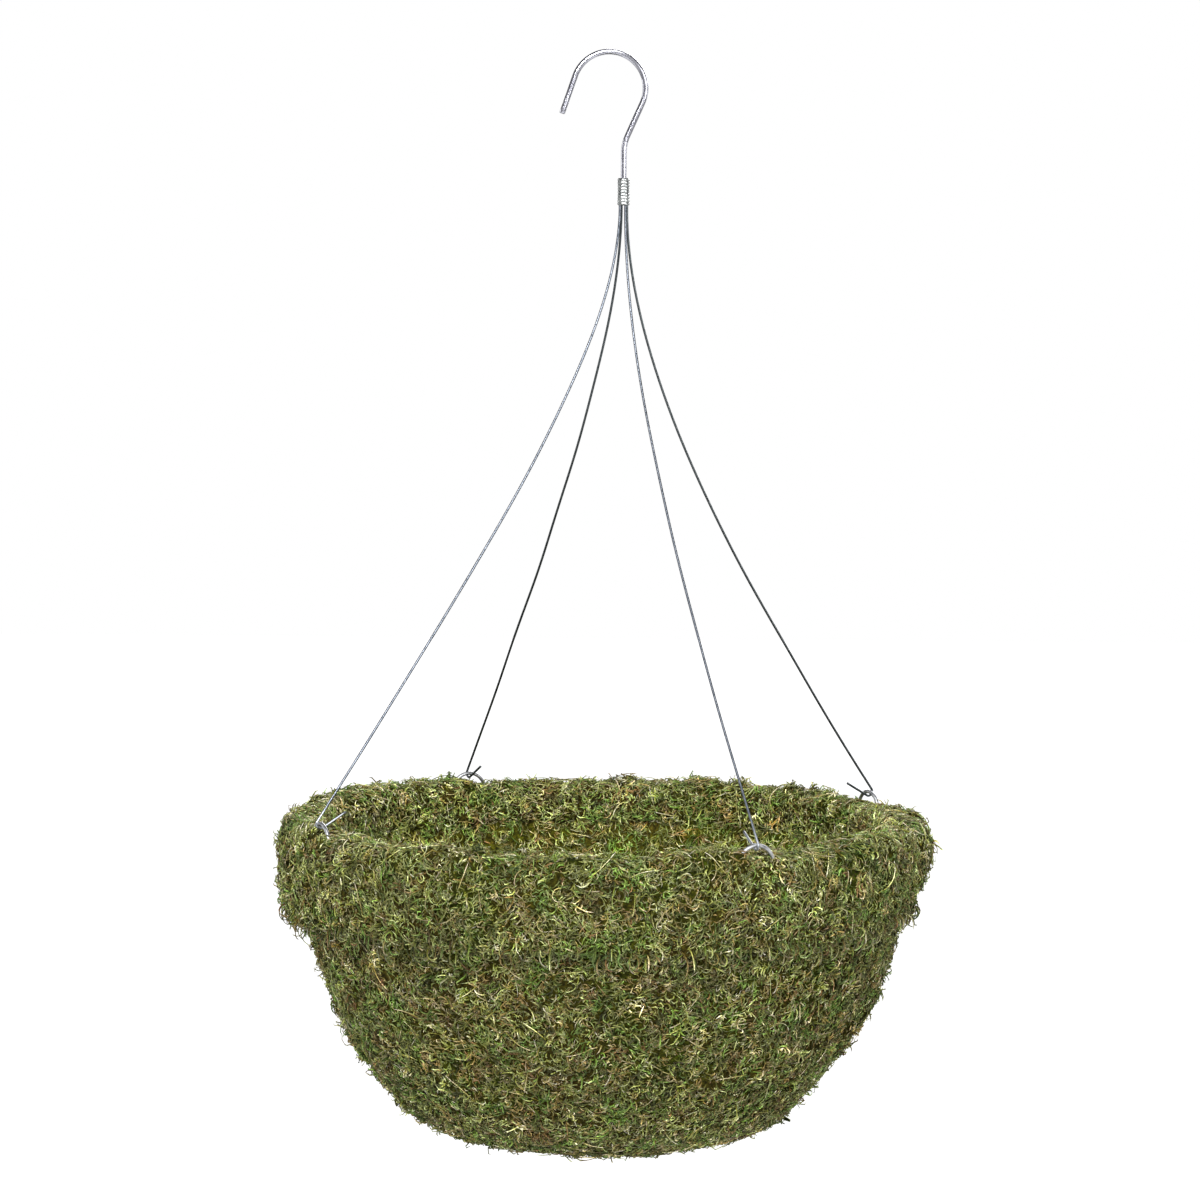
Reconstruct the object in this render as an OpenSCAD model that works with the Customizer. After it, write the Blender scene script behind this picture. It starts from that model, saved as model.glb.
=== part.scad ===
// Hanging basket: a moss-lined wire bowl on a four-wire hanger with one hook.
// The origin is the hook seat, where the bracket arm touches the underside of
// the crown. +Z is up and the basket's axis hangs straight below the origin.
// Heights given as "below the rim" count from the top of the moss rim.

/* [Basket] */
// Diameter of the wire rim ring, to the middle of its wire
ring_d = 355.6; // [340:0.1:370]
// Height of the hook seat above the top of the moss rim
rim_drop = 434.4; // [420:0.1:480]
// Height of the basket, from the top of the moss rim to its flat base
basket_h = 187; // [182:1:195]
// Radius of the curve that the wall follows from the rim downwards
wall_r = 240; // [236:1:260]
// Radius of the curve that joins the wall to the base
corner_r = 76; // [68:1:80]
// Height of the top of the moss rim above the middle of the rim ring
ring_depth = 7; // [6:0.5:8]

/* [Moss] */
// Thickness of the outer moss mat
outer_mat_t = 3.4; // [2.4:0.1:3.4]
// Thickness of the inner moss mat
inner_mat_t = 6.5; // [4:0.5:8]
// Depth of the rolled moss cuff outside the basket
cuff_depth = 50; // [40:1:56]
// Depth of the rolled moss cuff inside the basket
cuff_depth_inside = 22; // [16:1:30]
// Radius of the outside of the cuff at its widest
cuff_outside_r = 186.2; // [185.5:0.1:190]
// Radius of the inside of the cuff
cuff_inside_r = 159; // [156:0.5:160]

/* [Frame wire] */
// Thickness of the rim ring's wire
ring_wire = 3.4; // [3:0.1:3.6]
// Thickness of the wire in the ribs, hoops and base
frame_wire = 2.4; // [2:0.1:2.4]
// Thickness of the wire in the eyelets
eyelet_wire = 2.2; // [1.8:0.1:2.2]
// Radius of an eyelet's arch, to the middle of its wire
eyelet_r = 11; // [10:0.5:12]
// Diameter of the base ring, to the middle of its wire
base_ring_d = 112; // [100:1:114]

/* [Hook] */
// Thickness of the hook's wire
hook_wire = 3.2; // [3:0.1:3.4]
// Radius of the hook's bend, to the middle of its wire
hook_r = 20.6; // [18:0.1:24]
// Length of the hook's straight tip
hook_tip = 22.5; // [15:0.5:28]
// Angle from the +X side to where the bend runs into the tip
hook_tip_angle = 161; // [150:1:170]
// Slope of the hook's neck from the vertical
neck_slope = 24; // [20:1:30]
// Distance of the shank and ferrule from the line below the crown
shank_x = 8.6; // [6:0.1:10]
// Radius of the small bend between the neck and the shank
neck_bend_r = 8; // [6:0.5:10]

/* [Hanger wires] */
// Thickness of a hanger wire
hanger_wire = 1.4; // [1.2:0.1:1.4]
// Height of the hook seat above the lower end of the ferrule
ferrule_drop = 85.3; // [80:0.1:95]
// Length of the crimped ferrule
ferrule_len = 15.4; // [12:0.1:18]
// Diameter of the ferrule over its ridges
ferrule_d = 7; // [6.8:0.1:8]
// Number of ridges that the crimping leaves
ridge_count = 6; // [4:1:8]
// Direction of the first hanger wire, round from +X
first_wire_angle = 27.6; // [20:0.1:40]
// Radius of the crook at a wire's lower end, to the middle of its wire
crook_r = 2.5; // [2.4:0.1:3]
// Length of the straight tail after the crook
tail = 16; // [10:1:20]
// Share of its drop that a wire on the -X side takes to bend outwards
tight_bow = 0.25; // [0.2:0.01:0.3]
// The same share for a wire on the +X side, which bends more slowly
slow_bow = 0.42; // [0.3:0.01:0.45]

/* [Hidden] */
$fn = 96;
wire_fn = 32;            // facets round a wire that becomes a true circle
gap = 0.3;               // room between moss and wire
weld = 0.12;             // how far two welded wires sink into each other
stub_out = 0.5;          // length of a crimped wire end below the ferrule
mouth_gap = 0.3;         // room between a crimped end and its hanger wire
eyelet_count = 4;
rib_count = 8;
hoop_depths = [40, 88, 134];   // below the rim
cuff_bulge_r = 80;       // curve of the cuff's outside
cuff_bulge_depth = 24;   // where the cuff is widest, below the rim
cuff_top_t = 2.5;
cuff_outer_round = 4;
cuff_inner_round = 6;
tail_rise = 30;          // slope of the tail from the horizontal

rim_z = -rim_drop;
ring_r = ring_d / 2;
ring_z = rim_z - ring_depth;
base_z = rim_z - basket_h;

// The wall is a curve about wall_x at rim height, and meets the corner's curve.
mat_top_r = ring_r - ring_wire / 2 - frame_wire / 2 + weld + outer_mat_t + gap + frame_wire / 2;
wall_x = mat_top_r - wall_r;
corner_z = -basket_h + corner_r;
corner_x = wall_x + sqrt(pow(wall_r - corner_r, 2) - pow(corner_z, 2));
join_angle = atan2(corner_z, corner_x - wall_x);

// Depths of each layer inside the basket's outer surface
rib_in = outer_mat_t + gap + frame_wire / 2;
hoop_in = rib_in + frame_wire - weld;
inner_mat_in = hoop_in + frame_wire / 2 + gap;

hook_z = hook_wire / 2 - hook_r;
neck_len = (hook_r * cos(neck_slope) - neck_bend_r * (1 - cos(neck_slope)) - shank_x) / sin(neck_slope);
shank_top_z = hook_z - (hook_r + neck_bend_r) * sin(neck_slope) - neck_len * cos(neck_slope);
ferrule_bore = hook_wire + 2 * hanger_wire + 0.1;
ferrule_z = -ferrule_drop;
mouth_r = (hook_wire + hanger_wire) / 2;
mouth_z = ferrule_z - stub_out - mouth_gap;

eyelet_top_z = ring_z + eyelet_r;

function arc(x, y, r, from, to, steps) =
    [for (i = [0:steps]) let (a = from + (to - from) * i / steps) [x + r * cos(a), y + r * sin(a)]];

function eyelet_angle(k) = first_wire_angle + 90 * (k - 1);

function rib_angle(k) = first_wire_angle + (k - 0.5) * 360 / rib_count;

// Radius of the basket's surface, shifted inwards, at a depth below the rim
function wall_at(depth, inwards) = wall_x + sqrt(pow(wall_r - inwards, 2) - depth * depth);

// Outline of the surface, shifted inwards, from a depth below the rim to the axis
function bowl_line(depth, inwards) = concat(
    arc(wall_x, 0, wall_r - inwards, -asin(depth / (wall_r - inwards)), join_angle, 16),
    arc(corner_x, corner_z, corner_r - inwards, join_angle - 4, -90, 12),
    [[0, -basket_h + inwards]]
);

function bow_share(k) = cos(eyelet_angle(k)) > 0 ? slow_bow : tight_bow;

// Outward reach of a hanger wire at a share of its drop, from 0 to 1, and its slope at the foot
function bow(h, share) = (h - share * (1 - exp(-h / share))) / (1 - share * (1 - exp(-1 / share)));

function foot_slope(share) = (1 - exp(-1 / share)) / (1 - share * (1 - exp(-1 / share)));

function ring_rim_points(k) = [ring_r * cos(eyelet_angle(k)), ring_r * sin(eyelet_angle(k))];

function mouth_point(k) =
    [shank_x + mouth_r * cos(eyelet_angle(k)), mouth_r * sin(eyelet_angle(k))];

// Middle line of the hook, from its tip over the crown to the lower end of its shank
function hook_line() =
    let (tip = [cos(hook_tip_angle), sin(hook_tip_angle)])
    concat(
        [[hook_r * tip[0] - hook_tip * tip[1], hook_z + hook_r * tip[1] + hook_tip * tip[0]]],
        arc(0, hook_z, hook_r, hook_tip_angle, -neck_slope, 32),
        arc(shank_x + neck_bend_r, shank_top_z, neck_bend_r, 180 - neck_slope, 180, 5),
        [[shank_x, ferrule_z]]
    );

// Middle line of a rib, from the rim ring down the wall and the corner to the base ring
function rib_line() =
    let (
        wall = wall_r - rib_in,
        top_angle = -asin((ring_depth - ring_wire / 2) / wall),
        end_x = base_ring_d / 2 - frame_wire
    )
    concat(
        arc(wall_x, 0, wall, top_angle, join_angle, 14),
        arc(corner_x, corner_z, corner_r - rib_in, join_angle - 5, -90, 7),
        [[end_x, rib_in - basket_h]]
    );

// Middle line of a hanger wire, as distance outwards and height, in its own upright plane
function hanger_line(reach, share) =
    let (
        slope = atan(foot_slope(share) * reach / (mouth_z - eyelet_top_z)),
        foot_x = reach + crook_r * cos(slope),
        foot_z = eyelet_top_z + crook_r * sin(slope),
        crook_end = tail_rise - 150,
        crook = arc(reach, eyelet_top_z, crook_r, slope, crook_end, 12),
        last = crook[len(crook) - 1]
    )
    concat(
        [for (i = [0:31]) let (h = i / 32) [foot_x * bow(h, share), mouth_z + (foot_z - mouth_z) * h]],
        crook,
        [for (i = [1:3]) last + tail * i / 3 * [-cos(tail_rise), sin(tail_rise)]]
    );

// A round wire along a line of points in the X-Z plane
module swept_wire(line, thickness, sides = 8) {
    n = len(line);
    points = [
        for (i = [0:n - 1])
            let (
                along = line[min(i + 1, n - 1)] - line[max(i - 1, 0)],
                across = [-along[1], along[0]] / norm(along)
            )
            for (s = [0:sides - 1])
                let (a = 360 * s / sides)
                [
                    line[i][0] + thickness / 2 * cos(a) * across[0],
                    thickness / 2 * sin(a),
                    line[i][1] + thickness / 2 * cos(a) * across[1]
                ]
    ];
    walls = [
        for (i = [0:n - 2])
            for (s = [0:sides - 1])
                let (t = (s + 1) % sides)
                [i * sides + s, i * sides + t, (i + 1) * sides + t, (i + 1) * sides + s]
    ];
    first_end = [for (s = [sides - 1:-1:0]) s];
    last_end = [for (s = [0:sides - 1]) (n - 1) * sides + s];
    polyhedron(points, concat([first_end], walls, [last_end]));
}

// A bent length of wire in the X-Z plane, with angles from +X towards +Z
module bent_wire(r, thickness, from, to) {
    rotate([90, 0, 0])
        rotate([0, 0, from])
            rotate_extrude(angle = to - from)
                translate([r, 0])
                    circle(d = thickness, $fn = wire_fn);
}

module round_ring(r, z, thickness) {
    translate([0, 0, z])
        rotate_extrude()
            translate([r, 0])
                circle(d = thickness, $fn = wire_fn);
}

module hook() {
    color("gainsboro") swept_wire(hook_line(), hook_wire, 12);
}

// The crimped sleeve, with a rounded ridge left between each two bites
module ferrule() {
    pitch = ferrule_len / ridge_count;
    groove = 0.25;
    color("silver")
        translate([shank_x, 0, ferrule_z])
            rotate_extrude()
                difference() {
                    translate([ferrule_bore / 2, 0])
                        square([(ferrule_d - ferrule_bore) / 2, ferrule_len]);
                    for (i = [0:ridge_count])
                        translate([ferrule_d / 2 + groove, i * pitch])
                            circle(r = 2 * groove, $fn = wire_fn);
                }
}

module crimped_wire_ends() {
    color("lightsteelblue")
        for (k = [1:eyelet_count])
            translate([mouth_point(k)[0], mouth_point(k)[1], ferrule_z - stub_out])
                cylinder(h = ferrule_len + stub_out - 1, d = hanger_wire, $fn = wire_fn);
}

module hanger_wire(k) {
    across = ring_rim_points(k) - mouth_point(k);
    color("lightsteelblue")
        translate([mouth_point(k)[0], mouth_point(k)[1], 0])
            rotate([0, 0, atan2(across[1], across[0])])
                swept_wire(hanger_line(norm(across), bow_share(k)), hanger_wire);
}

module rim_ring() {
    color("dimgray") round_ring(ring_r, ring_z, ring_wire);
}

module eyelet_arch(k, thickness) {
    translate([ring_rim_points(k)[0], ring_rim_points(k)[1], ring_z])
        rotate([0, 0, eyelet_angle(k) + 90])
            bent_wire(eyelet_r, thickness, 0, 180);
}

module eyelet(k) {
    color("darkgray") eyelet_arch(k, eyelet_wire);
}

module rib(k) {
    color("dimgray")
        rotate([0, 0, rib_angle(k)])
            translate([0, 0, rim_z])
                swept_wire(rib_line(), frame_wire);
}

module hoop(depth) {
    color("dimgray") round_ring(wall_at(depth, hoop_in), rim_z - depth, frame_wire);
}

module base_ring() {
    color("dimgray") round_ring(base_ring_d / 2, base_z + hoop_in, frame_wire);
}

// The two base wires cross under the middle of the base ring
module base_wire(k) {
    color("dimgray")
        translate([0, 0, base_z + rib_in])
            rotate([0, 0, eyelet_angle(k)])
                rotate([0, 90, 0])
                    cylinder(h = base_ring_d + frame_wire, d = frame_wire, center = true, $fn = wire_fn);
}

module moss_outer() {
    top = ring_depth + ring_wire / 2 + gap;
    inside = bowl_line(top, outer_mat_t);
    color("olivedrab")
        translate([0, 0, rim_z])
            rotate_extrude()
                polygon(concat(bowl_line(top, 0), [for (i = [len(inside) - 1:-1:0]) inside[i]]));
}

module moss_inner() {
    top = cuff_top_t + gap;
    inside = bowl_line(top, inner_mat_in + inner_mat_t);
    color("darkolivegreen")
        translate([0, 0, rim_z])
            rotate_extrude()
                polygon(concat(
                    bowl_line(top, inner_mat_in),
                    [for (i = [len(inside) - 1:-1:0]) inside[i]]
                ));
}

// The roll of moss that wraps the rim: a deep leg outside and a short one inside
module moss_cuff() {
    bulge_x = cuff_outside_r - cuff_bulge_r;
    shoulder = asin((cuff_bulge_depth - cuff_outer_round) / cuff_bulge_r);
    hem = asin((cuff_bulge_depth - cuff_depth) / cuff_bulge_r);
    shoulder_x = bulge_x + cuff_bulge_r * cos(shoulder);
    outer_face = wall_r + gap;
    inner_face = wall_r - inner_mat_in - inner_mat_t - gap;
    hem_in = wall_x + outer_face * cos(asin(cuff_depth / outer_face));
    hem_out = bulge_x + cuff_bulge_r * cos(hem);
    leg_in = wall_x + inner_face * cos(asin(cuff_depth_inside / inner_face));
    color("yellowgreen")
        difference() {
            translate([0, 0, rim_z])
                rotate_extrude()
                    polygon(concat(
                        arc(bulge_x, -cuff_bulge_depth, cuff_bulge_r, hem, shoulder, 10),
                        arc(shoulder_x - cuff_outer_round, -cuff_outer_round, cuff_outer_round, 10, 90, 6),
                        arc(cuff_inside_r + cuff_inner_round, -cuff_inner_round, cuff_inner_round,
                            90, 180, 6),
                        arc((cuff_inside_r + leg_in) / 2, -cuff_depth_inside,
                            (leg_in - cuff_inside_r) / 2, 180, 350, 8),
                        arc(wall_x, 0, inner_face, -asin(cuff_depth_inside / inner_face),
                            -asin(cuff_top_t / inner_face), 4),
                        arc(wall_x, 0, outer_face, -asin(cuff_top_t / outer_face),
                            -asin(cuff_depth / outer_face), 10),
                        arc((hem_in + hem_out) / 2, -cuff_depth, (hem_out - hem_in) / 2, 190, 350, 8)
                    ));
            for (k = [1:eyelet_count])
                eyelet_arch(k, eyelet_wire + 2 * gap);
        }
}

hook();
ferrule();
crimped_wire_ends();
for (k = [1:eyelet_count]) {
    hanger_wire(k);
    eyelet(k);
}
rim_ring();
for (k = [1:rib_count])
    rib(k);
hoop(hoop_depths[0]);  // hoop_upper
hoop(hoop_depths[1]);  // hoop_middle
hoop(hoop_depths[2]);  // hoop_lower
base_ring();
for (k = [1:2])
    base_wire(k);
moss_outer();
moss_inner();
moss_cuff();
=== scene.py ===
"""Hanging basket: curled moss strands over a wire frame, on a hanger of spring wires.

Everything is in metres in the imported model's frame: +Z up, origin at the hook seat.
"""

import math

import bpy
import numpy as np
from mathutils import Matrix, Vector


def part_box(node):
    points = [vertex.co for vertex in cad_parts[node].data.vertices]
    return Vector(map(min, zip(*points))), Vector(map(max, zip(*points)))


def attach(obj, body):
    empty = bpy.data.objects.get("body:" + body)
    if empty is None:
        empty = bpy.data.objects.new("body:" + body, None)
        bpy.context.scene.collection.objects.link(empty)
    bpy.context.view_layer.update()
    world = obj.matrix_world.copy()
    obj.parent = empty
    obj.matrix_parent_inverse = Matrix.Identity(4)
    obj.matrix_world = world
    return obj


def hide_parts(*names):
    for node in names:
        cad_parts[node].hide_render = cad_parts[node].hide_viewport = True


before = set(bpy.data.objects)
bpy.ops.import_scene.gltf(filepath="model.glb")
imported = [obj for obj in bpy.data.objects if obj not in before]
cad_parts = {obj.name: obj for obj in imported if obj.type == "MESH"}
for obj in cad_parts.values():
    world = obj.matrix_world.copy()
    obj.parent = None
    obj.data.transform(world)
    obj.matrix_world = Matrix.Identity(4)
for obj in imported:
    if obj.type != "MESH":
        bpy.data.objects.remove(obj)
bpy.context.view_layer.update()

# ---------------------------------------------------------------- sizes
MM = 0.001
rim_low, rim_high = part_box("moss_cuff")
ring_low, ring_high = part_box("rim_ring")
base_low, base_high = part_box("moss_outer")
ferrule_low, ferrule_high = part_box("ferrule")

RIM_Z = rim_high.z
BASE_Z = base_low.z
RING_WIRE = ring_high.z - ring_low.z
RING_R = ring_high.x - RING_WIRE / 2
RING_Z = (ring_high.z + ring_low.z) / 2
CUFF_OUT_R = rim_high.x
MAT_TOP_R = base_high.x

# The same driving dimensions as part.scad
WALL_R = 240 * MM
CORNER_R = 76 * MM
CUFF_DEPTH = 50 * MM
CUFF_DEPTH_INSIDE = 22 * MM
CUFF_INSIDE_R = 159 * MM
INNER_FACE_IN = 15.2 * MM
BULGE_R, BULGE_DEPTH = 80 * MM, 24 * MM      # the roll's bulging side and how deep its middle lies
SHOULDER_R = 4 * MM
EYELET_WIRE, EYELET_R = 2.2 * MM, 11 * MM
HOOK_WIRE, HOOK_R, HOOK_TIP = 3.2 * MM, 20.6 * MM, 22.5 * MM
HOOK_TIP_ANGLE, NECK_SLOPE = math.radians(161), math.radians(24)
NECK_BEND_R = 22 * MM        # 8 mm in part.scad: the visible bend is a little softer
HANGER_WIRE, CROOK_R, TAIL = 1.4 * MM, 2.5 * MM, 16 * MM
FIRST_WIRE_ANGLE = 27.6      # degrees round from +X; the others follow 90 apart
TIGHT_BOW, SLOW_BOW = 0.25, 0.42
MOUTH_GAP = 0.8 * MM
TAIL_RISE = math.radians(30)

# The visible roll's own rounds
BULGE_TOP_DEPTH = 6 * MM
HEM_R, INNER_HEM_R, LIP_R = 3.4 * MM, 2.4 * MM, 7 * MM

SHANK_X = (ferrule_low.x + ferrule_high.x) / 2
FERRULE_Z, FERRULE_TOP = ferrule_low.z, ferrule_high.z
FERRULE_R = (ferrule_high.x - ferrule_low.x) / 2
MOUTH_R = (HOOK_WIRE + HANGER_WIRE) / 2
BASKET_H = RIM_Z - BASE_Z
WALL_X = MAT_TOP_R - WALL_R
CORNER_Z = CORNER_R - BASKET_H
CORNER_X = WALL_X + math.sqrt((WALL_R - CORNER_R) ** 2 - CORNER_Z**2)
JOIN_ANGLE = math.atan2(CORNER_Z, CORNER_X - WALL_X)
UP = np.array((0.0, 0.0, 1.0))


# ---------------------------------------------------------------- small helpers
def arc(x, y, r, start, end, steps):
    a = np.linspace(start, end, steps + 1)
    return np.stack([x + r * np.cos(a), y + r * np.sin(a)], 1)


def make_mesh(name, verts, faces):
    """faces is a list of index arrays of shape (n, 3) or (n, 4)."""
    mesh = bpy.data.meshes.new(name)
    faces = [f for f in faces if len(f)]
    sizes = np.concatenate([np.full(len(f), f.shape[1]) for f in faces])
    loops = np.concatenate([f.ravel() for f in faces])
    mesh.vertices.add(len(verts))
    mesh.vertices.foreach_set("co", np.ascontiguousarray(verts, np.float32).ravel())
    mesh.loops.add(len(loops))
    mesh.loops.foreach_set("vertex_index", loops.astype(np.int32))
    mesh.polygons.add(len(sizes))
    starts = np.concatenate([[0], np.cumsum(sizes)[:-1]])
    mesh.polygons.foreach_set("loop_start", starts.astype(np.int32))
    mesh.polygons.foreach_set("use_smooth", np.ones(len(sizes), bool))
    mesh.update(calc_edges=True)
    piece = bpy.data.objects.new(name, mesh)
    bpy.context.scene.collection.objects.link(piece)
    return piece


def finish_piece(piece, body, material, replaced=()):
    piece.data.materials.clear()
    piece.data.materials.append(material)
    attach(piece, body)
    if replaced:
        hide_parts(*replaced)
    return piece


class Field:
    """A smooth random field: a sum of plane waves with one typical wavelength."""

    def __init__(self, seed, wavelength, waves=20):
        draw = np.random.default_rng(seed)
        way = draw.normal(size=(waves, 3))
        way /= np.linalg.norm(way, axis=1)[:, None]
        self.k = way * (2 * math.pi / wavelength) * draw.uniform(0.7, 1.4, (waves, 1))
        self.phase = draw.uniform(0, 2 * math.pi, waves)
        self.scale = math.sqrt(2 / waves)

    def __call__(self, points):
        out = np.zeros(len(points))
        for k, phase in zip(self.k, self.phase):
            out += np.sin(points @ k + phase)
        return out * self.scale


# ---------------------------------------------------------------- materials
class Nodes:
    """A short way to write a node tree round one Principled shader."""

    def __init__(self, name):
        self.material = bpy.data.materials.new(name)
        self.material.use_nodes = True
        self.tree = self.material.node_tree
        self.shader = self.tree.nodes["Principled BSDF"]

    def add(self, kind, **inputs):
        node = self.tree.nodes.new(kind)
        for key, value in inputs.items():
            node.inputs[key.replace("_", " ")].default_value = value
        return node

    def link(self, source, target):
        self.tree.links.new(source, target)

    def noise(self, scale, detail=3.0, rough=0.55):
        node = self.add("ShaderNodeTexNoise", Scale=scale, Detail=detail, Roughness=rough)
        self.link(self.position(), node.inputs["Vector"])
        return node.outputs["Fac"]

    def position(self):
        if not hasattr(self, "_position"):
            self._position = self.add("ShaderNodeTexCoord").outputs["Object"]
        return self._position

    def ramp(self, source, stops):
        node = self.add("ShaderNodeValToRGB")
        while len(node.color_ramp.elements) < len(stops):
            node.color_ramp.elements.new(0.5)
        for element, (place, colour) in zip(node.color_ramp.elements, stops):
            element.position = place
            element.color = (*colour, 1) if len(colour) == 3 else colour
        self.link(source, node.inputs["Fac"])
        return node.outputs["Color"]

    def mix(self, factor, first, second, blend="MIX"):
        node = self.tree.nodes.new("ShaderNodeMix")
        node.data_type = "RGBA"
        node.blend_type = blend
        for value, socket in ((factor, node.inputs[0]), (first, node.inputs[6]), (second, node.inputs[7])):
            if isinstance(value, bpy.types.NodeSocket):
                self.link(value, socket)
            elif isinstance(value, (int, float)):
                socket.default_value = value
            else:
                socket.default_value = (*value, 1)
        return node.outputs[2]

    def scaled(self, source, low, high, from_low=0.0, from_high=1.0):
        node = self.tree.nodes.new("ShaderNodeMapRange")
        node.inputs["From Min"].default_value = from_low
        node.inputs["From Max"].default_value = from_high
        node.inputs["To Min"].default_value = low
        node.inputs["To Max"].default_value = high
        self.link(source, node.inputs["Value"])
        return node.outputs["Result"]

    def bump(self, source, distance, strength=1.0):
        node = self.add("ShaderNodeBump", Strength=strength, Distance=distance)
        self.link(source, node.inputs["Height"])
        self.link(node.outputs["Normal"], self.shader.inputs["Normal"])

    def set(self, **values):
        for key, value in values.items():
            socket = self.shader.inputs[key.replace("_", " ")]
            if isinstance(value, bpy.types.NodeSocket):
                self.link(value, socket)
            else:
                socket.default_value = value


def zinc(name, light, dark, rough, grain, bump_height, wear=0.35, painted_highlight=None):
    """Galvanised wire: a mottled zinc skin with fine worn specks, and a painted highlight near the eyelets:
    a paler colour low on the wire.
    """
    n = Nodes(name)
    mottle = n.noise(grain, 4.0, 0.6)
    speck = n.noise(grain * 6, 2.0, 0.5)
    middle = tuple((a + b) / 2 for a, b in zip(light, dark))
    colour = n.ramp(mottle, [(0.3, dark), (0.52, middle), (0.7, light)])
    worn = n.scaled(speck, 0.0, wear, 0.55, 0.8)
    colour = n.mix(worn, colour, tuple(c * 0.45 for c in dark))
    # Painted highlight: the wire from a little above the rim down, round its crook and tail, takes a paler
    # colour.
    if painted_highlight:
        split = n.add("ShaderNodeSeparateXYZ")
        n.link(n.position(), split.inputs[0])
        low = n.scaled(split.outputs["Z"], 1.0, 0.0, RIM_Z + 6 * MM, RIM_Z + 14 * MM)
        colour = n.mix(low, colour, painted_highlight)
    n.set(Base_Color=colour)
    n.set(Metallic=1.0, Roughness=n.scaled(mottle, rough[0], rough[1], 0.3, 0.7))
    n.bump(speck, bump_height, 0.6)
    return n.material


def moss_strand(name):
    """A strand takes its own colour from the mesh, which holds painted shade at its root and a painted
    highlight at its tip, with fine leaf scales.
    """
    n = Nodes(name)
    own = n.add("ShaderNodeAttribute")
    own.attribute_name = "moss_colour_and_painted_light"
    scales = n.noise(1300.0, 2.0)
    shade = n.ramp(scales, [(0.34, (0.45, 0.45, 0.4)), (0.5, (1, 1, 1)), (0.66, (1.6, 1.58, 1.45))])
    n.set(Base_Color=n.mix(1.0, own.outputs["Color"], shade, "MULTIPLY"))
    n.set(Roughness=n.scaled(scales, 0.6, 0.9), Specular_IOR_Level=0.15)
    n.bump(scales, 0.0002, 0.5)
    return n.material


def moss_bed(name, painted_light_tint):
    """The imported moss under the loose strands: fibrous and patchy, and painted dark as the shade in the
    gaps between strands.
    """
    n = Nodes(name)
    patch = n.noise(26.0, 3.0)
    hue = n.ramp(patch, [
        (0.34, (0.022, 0.03, 0.002)),
        (0.45, (0.03, 0.03, 0.003)),
        (0.56, (0.032, 0.026, 0.004)),
        (0.68, (0.032, 0.022, 0.005)),
    ])
    fibre = n.noise(520.0, 4.0, 0.7)
    light = n.ramp(fibre, [(0.36, (0.25, 0.25, 0.25)), (0.52, (0.85, 0.85, 0.8)), (0.68, (2.1, 2.1, 1.8))])
    coloured = n.mix(1.0, hue, light, "MULTIPLY")
    n.set(Base_Color=n.mix(1.0, coloured, painted_light_tint, "MULTIPLY"))
    n.set(Roughness=n.scaled(fibre, 0.8, 0.98), Specular_IOR_Level=0.05)
    n.bump(fibre, 0.0015, 0.9)
    return n.material


HOOK_METAL = zinc("hook_zinc", (0.5, 0.505, 0.545), (0.36, 0.36, 0.41), (0.16, 0.24), 60.0, 0.000002,
                  wear=0.05)
FERRULE_METAL = zinc("ferrule_zinc", (0.42, 0.44, 0.43), (0.18, 0.19, 0.19), (0.24, 0.42), 500.0, 0.00006)
# The hanger wires carry a painted highlight: a paler colour on their crook and tail near the eyelets.
HANGER_METAL = zinc("hanger_zinc", (0.15, 0.163, 0.185), (0.07, 0.08, 0.095), (0.3, 0.42), 300.0, 0.00001,
                    wear=0.2, painted_highlight=(0.34, 0.36, 0.39))
# Painted shade: a darker copy of the hanger zinc for the two back wires.
SHADED_HANGER_METAL = zinc("hanger_zinc_painted_shade", (0.11, 0.125, 0.13), (0.05, 0.058, 0.06), (0.3, 0.45), 650.0,
                         0.00004)
EYELET_METAL = zinc("eyelet_zinc", (0.55, 0.56, 0.57), (0.24, 0.24, 0.25), (0.3, 0.55), 500.0, 0.00005)
FRAME_METAL = zinc("frame_zinc", (0.4, 0.41, 0.42), (0.2, 0.2, 0.2), (0.4, 0.65), 380.0, 0.00006)
STRAND = moss_strand("moss_strand")
# Painted shade on both beds; the inside bed is a brighter copy, painted light for the inside of the bowl.
BED_OUT_PAINTED_SHADE = moss_bed("moss_bed_outside_painted_shade", (0.9, 0.9, 0.8))
BED_IN_PAINTED_SHADE_AND_LIGHT = moss_bed("moss_bed_inside_painted_shade_and_light", (1.7, 1.7, 1.4))


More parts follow.
